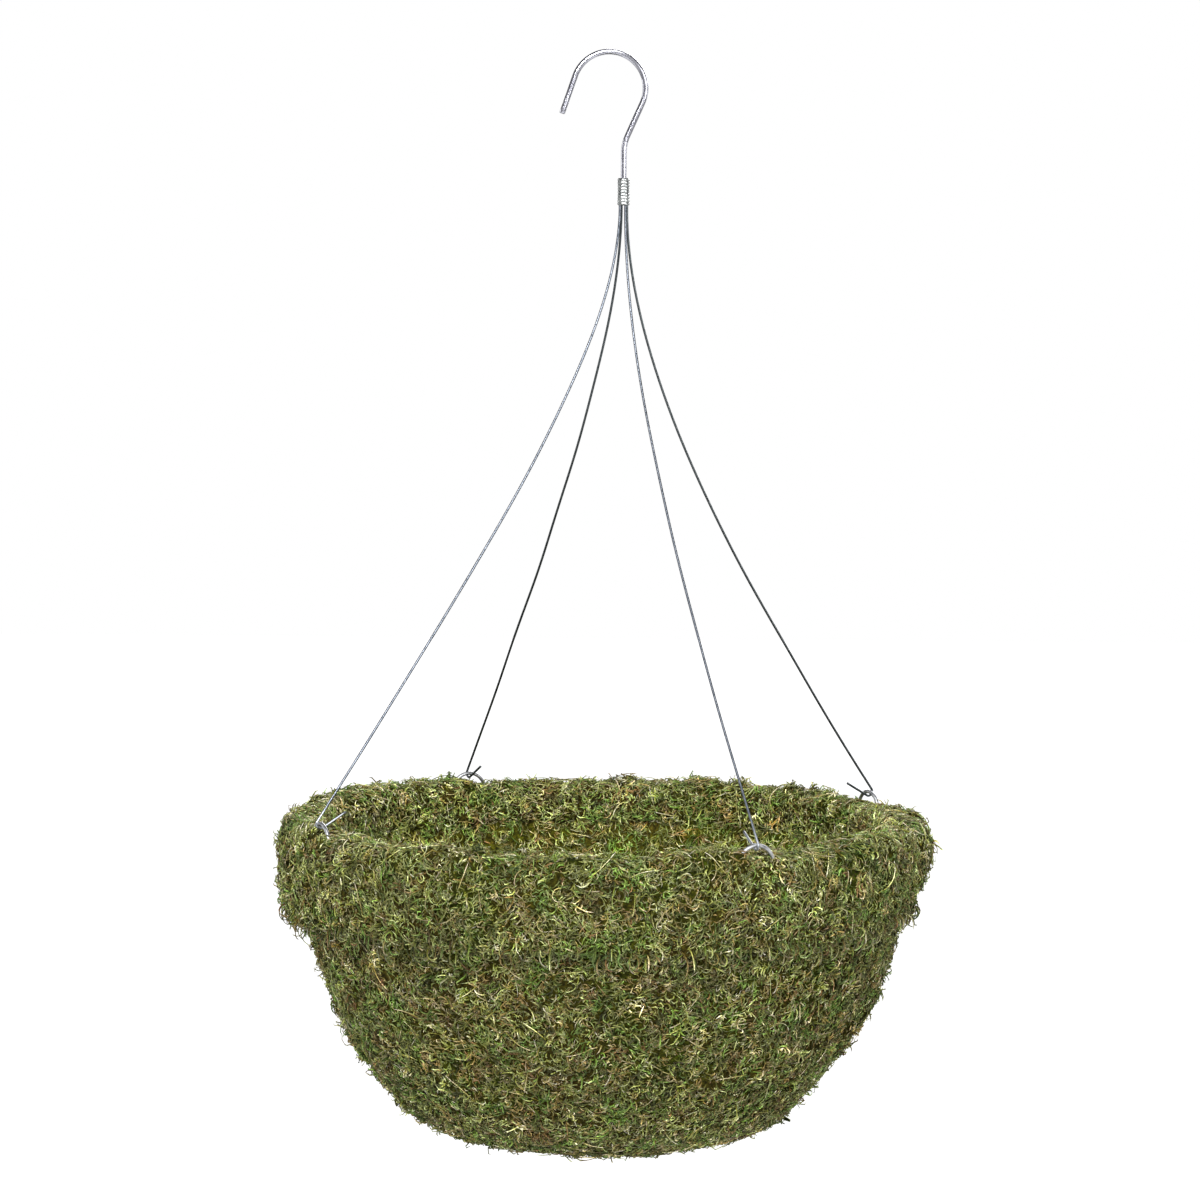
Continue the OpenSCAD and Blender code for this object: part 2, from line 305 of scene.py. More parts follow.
# ---------------------------------------------------------------- wires
def smooth_tube(name, line, radius, sides=20, wobble=0.0):
    """A closed round tube along 3-D points, without twist, with slightly rounded ends."""
    line = np.asarray(line, float)
    along = np.gradient(line, axis=0)
    along /= np.linalg.norm(along, axis=1)[:, None]
    side = np.cross(along[0], (0.31, 0.86, 0.41))
    side /= np.linalg.norm(side)
    rings, radii = [], np.full(len(line), radius)
    radii[0] = radii[-1] = radius * 0.72
    if wobble:
        radii *= 1 + wobble * Field(5, 0.02)(line)
    turn = np.linspace(0, 2 * math.pi, sides, endpoint=False)
    for point, way, r in zip(line, along, radii):
        side = side - way * side.dot(way)
        side /= np.linalg.norm(side)
        other = np.cross(way, side)
        rings.append(point + r * (np.cos(turn)[:, None] * side + np.sin(turn)[:, None] * other))
    n = len(line)
    i, s = np.meshgrid(np.arange(n - 1), np.arange(sides), indexing="ij")
    t = (s + 1) % sides
    walls = np.stack([i * sides + s, i * sides + t, (i + 1) * sides + t, (i + 1) * sides + s], -1)
    verts = np.concatenate([np.concatenate(rings), line[:1], line[-1:]])
    s = np.arange(sides)
    t = (s + 1) % sides
    first = np.stack([t, s, np.full(sides, n * sides)], 1)
    last = np.stack([(n - 1) * sides + s, (n - 1) * sides + t, np.full(sides, n * sides + 1)], 1)
    return make_mesh(name, verts, [walls.reshape(-1, 4), np.concatenate([first, last])])


def flat_ended(line, inset):
    """Adds a point just inside each end, so that only the last sliver of the wire is chamfered."""
    line = np.asarray(line, float)
    start = line[0] + (line[1] - line[0]) / np.linalg.norm(line[1] - line[0]) * inset
    end = line[-1] + (line[-2] - line[-1]) / np.linalg.norm(line[-2] - line[-1]) * inset
    return np.concatenate([line[:1], [start], line[1:-1], [end], line[-1:]])


def upright(line, x, y, angle):
    """Puts an (outwards, height) line in the vertical plane through (x, y) at an angle."""
    line = np.asarray(line, float)
    return np.stack([x + line[:, 0] * math.cos(angle), y + line[:, 0] * math.sin(angle), line[:, 1]], 1)


def straight(start, end, steps):
    t = np.linspace(0, 1, steps + 1)[:, None]
    return np.asarray(start) * (1 - t) + np.asarray(end) * t


def make_hook():
    centre_z = HOOK_WIRE / 2 - HOOK_R
    tip = np.array((math.cos(HOOK_TIP_ANGLE), math.sin(HOOK_TIP_ANGLE)))
    bend = arc(0, centre_z, HOOK_R, HOOK_TIP_ANGLE, -NECK_SLOPE, 72)
    tip_end = bend[0] + HOOK_TIP * np.array((-tip[1], tip[0]))
    cos, sin = math.cos(NECK_SLOPE), math.sin(NECK_SLOPE)
    neck = (HOOK_R * cos - NECK_BEND_R * (1 - cos) - SHANK_X) / sin
    shank_z = centre_z - (HOOK_R + NECK_BEND_R) * sin - neck * cos
    small = arc(SHANK_X + NECK_BEND_R, shank_z, NECK_BEND_R, math.pi - NECK_SLOPE, math.pi, 10)
    line = np.concatenate([
        straight(tip_end, bend[0], 10)[:-1],
        bend,
        straight(bend[-1], small[0], 10)[1:-1],
        small,
        straight(small[-1], (SHANK_X, FERRULE_Z), 14)[1:],
    ])
    points = flat_ended(upright(line, 0, 0, 0), 0.25 * MM)
    piece = smooth_tube("hook_wire", points, HOOK_WIRE / 2, sides=32, wobble=0.006)
    finish_piece(piece, "head", HOOK_METAL, ["hook"])


def make_ferrule():
    """A sleeve with crimp bites, fine grooves and rounded ends."""
    length = FERRULE_TOP - FERRULE_Z
    bore = HOOK_WIRE / 2 + HANGER_WIRE + 0.05 * MM
    groove_depth, end_round, grooves = 0.2 * MM, 0.7 * MM, 9
    steps, sides = 120, 72
    t = np.linspace(0, 1, steps + 1)
    turn = np.linspace(0, 2 * math.pi, sides, endpoint=False)
    groove = np.abs(np.cos(t * grooves * math.pi)) ** 5
    radius = FERRULE_R - 0.05 * MM - groove_depth * groove
    for edge in (t * length, (1 - t) * length):
        inside = np.clip(1 - edge / end_round, 0, 1)
        radius = radius - 0.45 * MM * inside**2
    bites = 1 - 0.035 * np.cos(4 * turn)[None, :] * np.sin(t * math.pi)[:, None]
    slant = 0.25 * MM * np.cos(turn)[None, :] * np.sin(t * math.pi)[:, None]
    r = radius[:, None] * bites
    z = FERRULE_Z + t[:, None] * length + slant
    outer = np.stack([r * np.cos(turn), r * np.sin(turn), z + 0 * r], -1).reshape(-1, 3)
    ends = []
    for z_end in (FERRULE_TOP, FERRULE_Z):
        ends.append(np.stack([bore * np.cos(turn), bore * np.sin(turn), np.full(sides, z_end)], -1))
    verts = np.concatenate([outer, *ends]) + (SHANK_X, 0, 0)
    rows = steps + 3
    i, s = np.meshgrid(np.arange(rows), np.arange(sides), indexing="ij")
    k = (s + 1) % sides
    j = (i + 1) % rows
    faces = np.stack([i * sides + s, i * sides + k, j * sides + k, j * sides + s], -1).reshape(-1, 4)
    piece = make_mesh("ferrule_sleeve", verts, [faces])
    finish_piece(piece, "head", FERRULE_METAL, ["ferrule"])


def bow(h, share):
    """How far out a hanger wire is, from 0 to 1, at h of its drop. Its bend dies away over a share of it."""
    return (h - share * (1 - np.exp(-h / share))) / (1 - share * (1 - math.exp(-1 / share)))


def make_hanger(k):
    """One spring wire with its J-hook. Its top runs up beside its crimped end."""
    angle = math.radians(FIRST_WIRE_ANGLE + 90 * (k - 1))
    mouth = np.array((SHANK_X + MOUTH_R * math.cos(angle), MOUTH_R * math.sin(angle)))
    across = RING_R * np.array((math.cos(angle), math.sin(angle))) - mouth
    reach = float(np.linalg.norm(across))
    mouth_z = FERRULE_Z - MOUTH_GAP
    top_z = RING_Z + EYELET_R
    share = SLOW_BOW if math.cos(angle) > 0 else TIGHT_BOW
    end_slope = (1 - math.exp(-1 / share)) / (1 - share * (1 - math.exp(-1 / share)))
    slope = math.atan(end_slope * reach / (mouth_z - top_z))
    foot = (reach + CROOK_R * math.cos(slope), top_z + CROOK_R * math.sin(slope))
    h = np.linspace(0, 1, 140)[:-1]
    drop = np.stack([foot[0] * bow(h, share), mouth_z + (foot[1] - mouth_z) * h], 1)
    crook = arc(reach, top_z, CROOK_R, slope, TAIL_RISE - math.radians(150), 26)
    tail_end = crook[-1] + TAIL * np.array((-math.cos(TAIL_RISE), math.sin(TAIL_RISE)))
    lead = [(0, mouth_z + MOUTH_GAP * 0.9)]
    line = np.concatenate([lead, drop, crook, straight(crook[-1], tail_end, 8)[1:]])
    points = upright(line, mouth[0], mouth[1], math.atan2(across[1], across[0]))
    draw = Field(40 + k, 0.11, 6)
    fade = np.sin(np.linspace(0, math.pi, len(points))) ** 2 * (points[:, 2] > top_z + 0.01)
    sideways = np.array((-across[1], across[0], 0)) / reach
    points = points + (0.35 * MM * draw(points) * fade)[:, None] * sideways
    piece = smooth_tube(f"hanger_spring_{k}", flat_ended(points, 0.12 * MM), HANGER_WIRE / 2, 14)
    # The two back wires take the darker copy of the zinc as painted shade.
    metal = SHADED_HANGER_METAL if math.sin(angle) > 0 else HANGER_METAL
    finish_piece(piece, f"wire_{k}", metal, [f"hanger_wire_{k}"])


def make_eyelet(k):
    angle = math.radians(FIRST_WIRE_ANGLE + 90 * (k - 1))
    bend = arc(0, RING_Z, EYELET_R, 0, math.pi, 48)
    points = upright(bend, RING_R * math.cos(angle), RING_R * math.sin(angle), angle + math.pi / 2)
    piece = smooth_tube(f"eyelet_loop_{k}", points, EYELET_WIRE / 2, 20)
    finish_piece(piece, "basket", EYELET_METAL, [f"eyelet_{k}"])


def dress_frame():
    for name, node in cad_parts.items():
        if name.startswith(("rib_", "hoop_", "base_", "rim_ring")):
            metal = FRAME_METAL
        elif name == "crimped_wire_ends":
            metal = HANGER_METAL
        else:
            continue
        for slot in node.material_slots:
            slot.material = metal


# ---------------------------------------------------------------- moss surfaces
BED_FROM_FACE = 2.8 * MM     # the beds lie this far inside the CAD's moss, so that strands fill it up
LINING_FROM_FACE = 1.5 * MM
BASE_LIFT = 0.4 * MM
HEM_PRESSED, HEM_FULLER, RIM_RISE = 4.5 * MM, 3 * MM, 6 * MM
RISE_ANGLE = 2.56            # where the rim rises, behind the left
BOWL_FULLER = 2.2 * MM


class Skin:
    """A surface of revolution given by its outline, with its outward side on the left of travel."""

    def __init__(self, outline, steps):
        outline = np.asarray(outline, float)
        gaps = np.linalg.norm(np.diff(outline, axis=0), axis=1)
        run = np.concatenate([[0], np.cumsum(gaps)])
        self.length = run[-1]
        self.s = np.linspace(0, self.length, steps + 1)
        self.r = np.interp(self.s, run, outline[:, 0])
        self.z = np.interp(self.s, run, outline[:, 1])
        way = np.stack([np.gradient(self.r), np.gradient(self.z)], 1)
        soft = np.ones(5) / 5
        way = np.stack([np.convolve(np.pad(w, 2, mode="edge"), soft, "valid") for w in way.T], 1)
        way /= np.linalg.norm(way, axis=1)[:, None]
        self.along = way
        self.out = np.stack([-way[:, 1], way[:, 0]], 1)

    def at(self, s, turn):
        """Points, outward normals, and tangents round and along the outline."""
        r, z = np.interp(s, self.s, self.r), np.interp(s, self.s, self.z)
        o = [np.interp(s, self.s, self.out[:, i]) for i in (0, 1)]
        a = [np.interp(s, self.s, self.along[:, i]) for i in (0, 1)]
        cos, sin = np.cos(turn), np.sin(turn)
        point = np.stack([r * cos, r * sin, z], 1)
        normal = np.stack([o[0] * cos, o[0] * sin, o[1]], 1)
        round_way = np.stack([-sin, cos, 0 * cos], 1)
        down_way = np.stack([a[0] * cos, a[0] * sin, a[1]], 1)
        return point, normal, round_way, down_way


def bowl_outline(depth, inwards):
    """From a depth below the rim down the wall, round its corner and in to the middle of the base."""
    wall = WALL_R - inwards
    start = -math.asin(depth / wall)
    line = np.concatenate([
        arc(WALL_X, RIM_Z, wall, start, JOIN_ANGLE, 60),
        arc(CORNER_X, RIM_Z + CORNER_Z, CORNER_R - inwards, JOIN_ANGLE, -math.pi / 2, 30)[1:],
        [(0.0, BASE_Z + inwards)],
    ])
    near_base = np.clip((BASE_Z + 40 * MM - line[:, 1:]) / (30 * MM), 0, 1)
    return line + np.array((0, BASE_LIFT)) * near_base


def cuff_outline(inwards):
    """Round the roll from its hem outside, over the top, to its hem inside."""
    out_r = CUFF_OUT_R - inwards
    in_r = CUFF_INSIDE_R + inwards
    top_z = RIM_Z - inwards
    low = math.asin((BULGE_DEPTH - CUFF_DEPTH) / BULGE_R)
    high = math.asin((BULGE_DEPTH - BULGE_TOP_DEPTH) / BULGE_R)
    side = arc(out_r - BULGE_R, RIM_Z - BULGE_DEPTH, BULGE_R, low, high, 30)
    hem = arc(side[0, 0] - HEM_R, side[0, 1], HEM_R, math.radians(-120), low, 8)[:-1]
    top = np.concatenate([
        arc(side[-1, 0] - SHOULDER_R, top_z - SHOULDER_R, SHOULDER_R, 0.2, math.pi / 2, 10),
        arc(in_r + LIP_R, top_z - LIP_R, LIP_R, math.pi / 2, math.pi, 10),
    ])
    hem_z = RIM_Z - CUFF_DEPTH_INSIDE
    inner_hem = arc(in_r + INNER_HEM_R, hem_z, INNER_HEM_R, math.pi, math.radians(290), 8)
    return np.concatenate([hem, side, top, inner_hem])


LUMP_BIG, LUMP_MID, LUMP_FINE = Field(11, 0.075), Field(12, 0.026), Field(13, 0.009)


def outward(points):
    """The level way from the basket's axis to each point, one unit long."""
    level_part = points * (1, 1, 0)
    return level_part / (np.linalg.norm(level_part, axis=1)[:, None] + 1e-9)


def roll_shape(points):
    """The roll is uneven: pressed in at its right-hand hem, full at its left, and high behind the left."""
    angle = np.arctan2(points[:, 1], points[:, 0])
    hem = np.clip((RIM_Z - 20 * MM - points[:, 2]) / (20 * MM), 0, 1)
    top = np.clip(1 - (RIM_Z - points[:, 2]) / (14 * MM), 0, 1)
    right = np.exp(-((angle / 0.6) ** 2))
    left = np.exp(-(((math.pi - np.abs(angle)) / 0.5) ** 2))
    risen = np.exp(-(((angle - RISE_ANGLE) / 0.24) ** 2))
    return hem * (HEM_FULLER * left - HEM_PRESSED * right) + RIM_RISE * top * risen


def bowl_shape(points):
    """The bowl is a little fuller low on its left than on its right."""
    left = np.clip(-outward(points)[:, 0], 0, 1)
    low = np.clip((RIM_Z - 70 * MM - points[:, 2]) / (50 * MM), 0, 1)
    return BOWL_FULLER * low * left**2


def level(points):
    return np.zeros(len(points))


def lumps(points, big, mid, fine, shape=level):
    """Heights above a skin, lower near the base. Hollows are shallow, so the wires stay covered."""
    height = big * LUMP_BIG(points) + mid * LUMP_MID(points) + fine * LUMP_FINE(points)
    height *= 1 - 0.5 * np.clip((RIM_Z - 130 * MM - points[:, 2]) / (40 * MM), 0, 1)
    return np.where(height < 0, 0.25 * height, height) + shape(points)


def lumpy(skin, heights, round_steps, thickness, name):
    """A closed mat: the skin raised into lumps outside, and a plain face a thickness behind it."""
    turn = np.linspace(0, 2 * math.pi, round_steps, endpoint=False)
    s, a = np.meshgrid(skin.s, turn, indexing="ij")
    point, normal, _, _ = skin.at(s.ravel(), a.ravel())
    fade = np.clip(np.interp(s.ravel(), skin.s, skin.r) / (8 * MM), 0, 1)
    front = point + normal * (lumps(point, *heights) * fade)[:, None]
    pressed = np.minimum(heights[3](point), 0)
    back = point + normal * (pressed - thickness)[:, None]
    verts = np.concatenate([front, back])
    rows, n = len(skin.s), round_steps
    i, k = np.meshgrid(np.arange(rows - 1), np.arange(n), indexing="ij")
    j = (k + 1) % n
    quads = np.stack([i * n + k, (i + 1) * n + k, (i + 1) * n + j, i * n + j], -1).reshape(-1, 4)
    behind = quads[:, ::-1] + rows * n
    k = np.arange(n)
    j = (k + 1) % n
    edges = []
    for row, flip in ((0, False), (rows - 1, True)):
        edge = np.stack([row * n + k, row * n + j, (row + rows) * n + j, (row + rows) * n + k], 1)
        edges.append(edge if not flip else edge[:, ::-1])
    return make_mesh(name, verts, [quads, behind, *edges])


# ---------------------------------------------------------------- moss strands
PALETTE = np.array([
    (0.2, 0.215, 0.066),     # olive
    (0.305, 0.34, 0.145),    # yellow-green
    (0.125, 0.215, 0.045),   # mid green
    (0.225, 0.16, 0.062),    # brown
    (0.39, 0.33, 0.2),       # tan
    (0.2, 0.105, 0.045),     # reddish brown
    (0.062, 0.07, 0.018),    # dark
    (0.6, 0.57, 0.4),        # pale
])
GREEN_PATCH, BROWN_PATCH, LIGHT_PATCH = Field(21, 0.026), Field(22, 0.02), Field(23, 0.014)
SWIRL = Field(31, 0.045), Field(32, 0.045)
TUFT, TUFT_SPREAD = 7, 1.3 * MM  # strands in a tuft, and how far they stand from its middle
STRAY = 0.3                  # share of the strands that don't take their tuft's colour
SUNK = 0.8 * MM              # how deep a strand's root is in the bed
PRESSED_R, PRESSED_LIFT, PRESSED_LENGTH = 11 * MM, 1.6 * MM, 4.5 * MM
TALLEST = 7 * MM
# Painted shade and highlight: the blue of a strand's colour falls towards its shaded root and rises towards
# its highlit tip.
ROOT_SHADE_TINT, TIP_HIGHLIGHT_TINT = np.array((1.0, 1.0, 0.12)), np.array((1.0, 1.0, 1.35))


def strand_colours(points, draw, shares):
    """Mixes the palette in patches: shares is each colour's share where no patch favours another."""
    green, brown, light = GREEN_PATCH(points), BROWN_PATCH(points), LIGHT_PATCH(points)
    push = np.stack([
        0 * green, 0.4 * light, 0.8 * green, 0.8 * brown, 0.5 * brown + 0.2 * light,
        1.0 * brown, -0.5 * light, 0.2 * light,
    ], 1)
    weight = np.asarray(shares)[None, :] * np.exp(push)
    weight = np.cumsum(weight / weight.sum(1)[:, None], 1)
    first, second = ((weight < draw.uniform(size=(len(points), 1))).sum(1).clip(0, 7) for _ in range(2))
    blend = draw.uniform(0, 0.4, (len(points), 1))
    colour = PALETTE[first] * (1 - blend) + PALETTE[second] * blend
    value = np.exp(draw.normal(0, 0.4, len(points)) + 0.1 * light)
    return colour * value[:, None]


def curled_lines(heading, bend, twist, length, lift, peak, centring, segments):
    """Flat curls as (east, north, height) points, a row for each strand."""
    fine = 4
    steps = np.linspace(0, 1, segments * fine + 1)
    angle = heading[:, None] + bend[:, None] * (steps[None, :] + twist[:, None] * steps[None, :] ** 2)
    ds = length[:, None] / (len(steps) - 1)
    zero = np.zeros((len(heading), 1))
    east = np.concatenate([zero, np.cumsum(np.cos(angle[:, 1:]) * ds, 1)], 1)[:, ::fine]
    north = np.concatenate([zero, np.cumsum(np.sin(angle[:, 1:]) * ds, 1)], 1)[:, ::fine]
    rise = np.sin(np.clip(steps[None, ::fine] / peak[:, None], 0, 1.6) * math.pi / 2)
    return east - centring * east[:, -1:], north - centring * north[:, -1:], lift[:, None] * rise - SUNK


def strand_mesh(name, line, normals, first, thick, colours):
    """Closed three-sided tubes that taper to a point, each with its own colour, with painted shade at its
    root and a painted highlight, paler and bluer, at its tip.
    """
    n, segments = len(line), line.shape[1] - 1
    t = np.linspace(0, 1, segments + 1)
    way = np.gradient(line, axis=1)
    way /= np.linalg.norm(way, axis=2)[..., None] + 1e-12
    side = np.cross(way, normals[:, None, :] + 0.3 * first[:, None, :])
    side /= np.linalg.norm(side, axis=2)[..., None] + 1e-12
    other = np.cross(way, side)
    taper = (1 - 0.32 * t**2)[None, :] * thick[:, None] / 2
    corners = []
    for k in range(3):
        a = 2 * math.pi * k / 3
        corners.append(line + taper[..., None] * (math.cos(a) * side + math.sin(a) * other))
    rings = np.stack(corners, 2)[:, :-1]
    verts = np.concatenate([rings.reshape(n, -1, 3), line[:, -1:]], 1)
    per = verts.shape[1]
    quads = []
    for i in range(segments - 1):
        for k in range(3):
            m = (k + 1) % 3
            quads.append((3 * i + k, 3 * i + m, 3 * i + 3 + m, 3 * i + 3 + k))
    last = 3 * (segments - 1)
    tris = [(2, 1, 0)] + [(last + k, last + (k + 1) % 3, per - 1) for k in range(3)]
    offset = (np.arange(n) * per)[:, None, None]
    quads = (np.array(quads)[None] + offset).reshape(-1, 4)
    tris = (np.array(tris)[None] + offset).reshape(-1, 3)
    piece = make_mesh(name, verts.reshape(-1, 3), [quads, tris])
    shade = np.repeat(colours[:, None, :], per, 1)
    along = np.concatenate([np.repeat(t[:-1], 3), t[-1:]])[None, :, None]
    # Painted shade darkens each strand towards its root, and a painted highlight makes its tip paler and
    # bluer.
    painted_light_tint = ROOT_SHADE_TINT * (1 - along) + TIP_HIGHLIGHT_TINT * along
    shade = shade * (0.2 + 0.97 * along) * painted_light_tint + 0.06 * PALETTE[-1] * along**2
    rgba = np.concatenate([shade, np.ones((n, per, 1))], 2).astype(np.float32)
    layer = piece.data.color_attributes.new("moss_colour_and_painted_light", "FLOAT_COLOR", "POINT")
    layer.data.foreach_set("color", rgba.ravel())
    return finish_piece(piece, "basket", STRAND)


def laid(point, normal, first, second, curls):
    """Curls set on a surface at their roots."""
    east, north, height = (c[..., None] for c in curls)
    frame_of = (first[:, None, :], second[:, None, :], normal[:, None, :])
    return point[:, None, :] + east * frame_of[0] + north * frame_of[1] + height * frame_of[2]


def scatter(skin, count, draw, low, high, sector):
    """Evenly spread places on a skin between two shares of its outline."""
    keep = (skin.s >= low * skin.length) & (skin.s <= high * skin.length)
    s, area = skin.s[keep], np.cumsum(skin.r[keep])
    even = np.outer(np.arange(count), (0.7548776662, 0.5698402910)) + draw.uniform(size=2)
    even = (even + draw.uniform(-0.25, 0.25, (count, 2)) / math.sqrt(count)) % 1
    s = np.interp(even[:, 0] * area[-1], area, s)
    return s, sector[0] + even[:, 1] * (sector[1] - sector[0])


def near_eyelet(point):
    """True within a short way of an eyelet's feet, where the moss is pressed down."""
    close = np.zeros(len(point), bool)
    for k in range(1, 5):
        angle = math.radians(FIRST_WIRE_ANGLE + 90 * (k - 1))
        x, y = RING_R * math.cos(angle), RING_R * math.sin(angle)
        near = np.hypot(point[:, 0] - x, point[:, 1] - y) < PRESSED_R
        close |= near & (point[:, 2] > RIM_Z - 12 * MM)
    return close


def coat(name, skin, heights, count, sectors, low, high, look, seed):
    """Grows tufts of short strands over part of a skin, in sectors of its circle that are a piece each."""
    for part in range(sectors):
        draw = np.random.default_rng(seed * 100 + part)
        sector = (2 * math.pi * part / sectors, 2 * math.pi * (part + 1) / sectors)
        tufts = count // sectors // TUFT
        n = tufts * TUFT
        s, turn = scatter(skin, tufts, draw, low, high, sector)
        centre = skin.at(s, turn)[0]
        heading = np.arctan2(SWIRL[0](centre), SWIRL[1](centre)) + draw.normal(0, 0.6, tufts)
        combed = draw.uniform(size=tufts) < look["comb"]
        heading = np.where(combed, -math.pi / 2 + draw.normal(0, 0.35, tufts), heading)
        tall = draw.gamma(3.0, look["lift"] / 3.0, tufts)
        tuft_colour = strand_colours(centre, draw, look["shares"])
        owner = np.repeat(np.arange(tufts), TUFT)
        spread = draw.normal(0, TUFT_SPREAD, (n, 2))
        s = (s[owner] + spread[:, 0]).clip(low * skin.length, high * skin.length)
        turn = turn[owner] + spread[:, 1] / np.maximum(np.interp(s, skin.s, skin.r), 8 * MM)
        point, normal, first, second = skin.at(s, turn)
        point = point + normal * lumps(point, *heights)[:, None]
        own = strand_colours(point, draw, look["shares"])
        stray = draw.uniform(size=(n, 1)) < STRAY
        colours = np.where(stray, own, tuft_colour[owner] * np.exp(draw.normal(0, 0.16, (n, 1))))
        length = draw.gamma(9.0, look["length"] / 9.0, n)
        lift = tall[owner] * draw.uniform(0.55, 1.25, n)
        loose = draw.uniform(size=n) < look["loose"]
        length = np.where(loose, length * 1.7, length)
        lift = np.where(loose, lift * 1.6, lift).clip(0, TALLEST)
        pressed = near_eyelet(point)
        lift = np.where(pressed, lift.clip(0, PRESSED_LIFT), lift)
        length = np.where(pressed, length.clip(0, PRESSED_LENGTH), length)
        bend = draw.normal(look["curl"], 0.8, n) * draw.choice((-1.0, 1.0), n)
        bend = np.where(combed[owner], 0.4 * bend, bend)
        length = np.where(combed[owner], 1.3 * length, length)
        own_heading = heading[owner] + draw.normal(0, 0.75, n)
        twist = draw.normal(0, 0.35, n)
        peak = draw.uniform(0.45, 1.1, n)
        curls = curled_lines(own_heading, bend, twist, length, lift, peak, 0.25, look["segments"])
        label = f"{name}_{part + 1}" if sectors > 1 else name
        line = laid(point, normal, first, second, curls)
        thick = draw.uniform(*look["thick"], n)
        # Painted light: strands that face in across the bowl are made brighter.
        inwards = np.clip(-(normal * outward(point)).sum(1), 0, 1)
        painted_inner_light = look["brightness"] * (1 + look["painted_inner_light"] * inwards)
        strand_mesh(label, line, normal, first, thick, colours * painted_inner_light[:, None])


def long_strands(name, skin, heights, count, low, high, lengths, curl, lift, thick, shares, seed,
                 spread=math.pi):
    """Single long strands that lie over the tufts, within a spread of the way round the basket."""
    draw = np.random.default_rng(seed)
    s, turn = scatter(skin, count, draw, low, high, (0, 2 * math.pi))
    point, normal, first, second = skin.at(s, turn)
    point = point + normal * lumps(point, *heights)[:, None]
    bend = draw.normal(curl, 0.35 * curl + 0.2, count) * draw.choice((-1.0, 1.0), count)
    rises = draw.uniform(0.5, 1.0, count) * lift
    heading = draw.uniform(-spread, spread, count) + math.pi * draw.integers(0, 2, count)
    curls = curled_lines(heading, bend, draw.normal(0, 0.4, count), draw.uniform(*lengths, count), rises,
                         draw.uniform(0.5, 0.9, count), 0.5, 9)
    line = laid(point, normal, first, second, curls)
    keep = ~near_eyelet(point)
    colours = strand_colours(point, draw, shares)
    widths = draw.uniform(*thick, count)
    strand_mesh(name, line[keep], normal[keep], first[keep], widths[keep], colours[keep])


def hem_loops(name, skin, heights, count, seed):
    """Loops and curls that hang out of the rolled moss at its lower edge."""
    draw = np.random.default_rng(seed)
    s, turn = scatter(skin, count, draw, 0.9, 1.0, (0, 2 * math.pi))
    point, normal, first, second = skin.at(s, turn)
    point = point + normal * lumps(point, *heights)[:, None]
    hanging = np.broadcast_to(-UP, point.shape)
    away = outward(point)
    face = draw.uniform(0, math.pi, (count, 1))
    across = np.cos(face) * first + np.sin(face) * away
    bend = draw.normal(4.0, 1.0, count) * draw.choice((-1.0, 1.0), count)
    start = math.pi / 2 - bend / 2 + draw.normal(0, 0.5, count)
    curls = curled_lines(start, bend, draw.normal(0, 0.15, count), draw.uniform(8 * MM, 19 * MM, count),
                         draw.uniform(0.5 * MM, 3 * MM, count), draw.uniform(0.4, 1.0, count), 0.0, 9)
    line = laid(point, away, across, hanging, curls)
    colours = strand_colours(point, draw, RIM_SHARES) * 0.6
    strand_mesh(name, line, away, first, draw.uniform(0.7 * MM, 1.1 * MM, count), colours)


WALL_LUMPS = (1.6 * MM, 1.1 * MM, 0.7 * MM, bowl_shape)
CUFF_LUMPS = (1.3 * MM, 1.2 * MM, 0.7 * MM, roll_shape)
LINING_LUMPS = (1.6 * MM, 1.1 * MM, 0.7 * MM, level)
#                olive yellow green brown  tan   red   dark  pale
WALL_SHARES = (0.30, 0.13, 0.18, 0.15, 0.08, 0.03, 0.10, 0.03)
RIM_SHARES = (0.30, 0.20, 0.17, 0.11, 0.08, 0.02, 0.08, 0.04)
INSIDE_SHARES = (0.31, 0.14, 0.20, 0.13, 0.06, 0.02, 0.10, 0.04)
STRAW_SHARES = (0.05, 0.10, 0.0, 0.12, 0.40, 0.08, 0.05, 0.20)
CREST_SHARES = (0.20, 0.36, 0.10, 0.04, 0.18, 0.0, 0.0, 0.12)
TWIG_SHARES = (0.0, 0.0, 0.0, 0.30, 0.0, 0.25, 0.45, 0.0)


